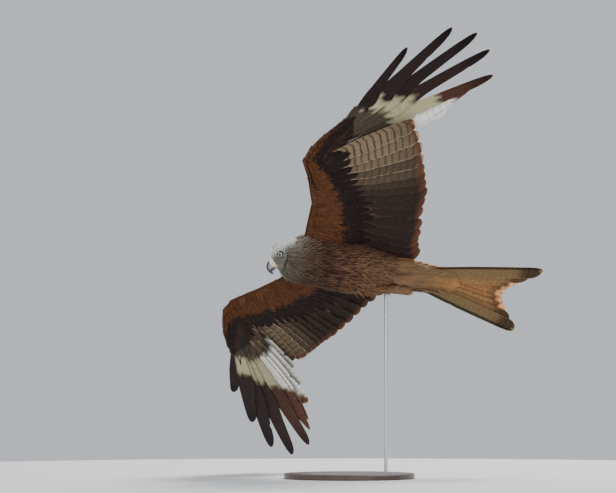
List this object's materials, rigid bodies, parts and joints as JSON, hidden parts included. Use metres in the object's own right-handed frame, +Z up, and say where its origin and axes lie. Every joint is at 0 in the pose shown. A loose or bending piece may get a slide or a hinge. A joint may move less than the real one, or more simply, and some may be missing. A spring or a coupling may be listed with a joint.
{
  "type": "red kite bird",
  "caption": "Life-size still model of a red kite in a banked glide, wings spread and forked tail fanned, held on a plain display stand.",
  "frame": {"origin": "centre of the stand base's flat underside", "axes": "+Z up, away from the floor; +Y away from the viewer of the reference picture, +X to the viewer's right, so the bill points to -X and the left wing is the raised one"},
  "size_m": [0.7404, 0.6534, 1.0282],
  "materials": {
    "head_plumage": "matt, streaked pale grey feathers",
    "body_plumage": "matt, rufous feathers with dark shaft streaks",
    "wing_plumage": "matt to slightly silky feathers",
    "tail_plumage": "silky rufous feathers",
    "cere_skin": "waxy skin",
    "bill_horn": "polished horn",
    "eye_glass": "polished, pale iris with a black pupil",
    "base_wood": "dark satin",
    "rod_steel": "brushed"
  },
  "bodies": {
    "root": {"head": "head_plumage", "neck": "head_plumage", "torso": "body_plumage", "tail": "tail_plumage", "cere": "cere_skin", "bill_upper": "bill_horn", "bill_lower": "bill_horn", "eye_left": "eye_glass", "eye_right": "eye_glass", "left_leg": "body_plumage", "right_leg": "body_plumage", "left_wing_arm": "wing_plumage", "left_wing_hand": "wing_plumage", "right_wing_arm": "wing_plumage", "right_wing_hand": "wing_plumage", "stand_base": "base_wood", "stand_rod": "rod_steel"}
  },
  "joints": []
}
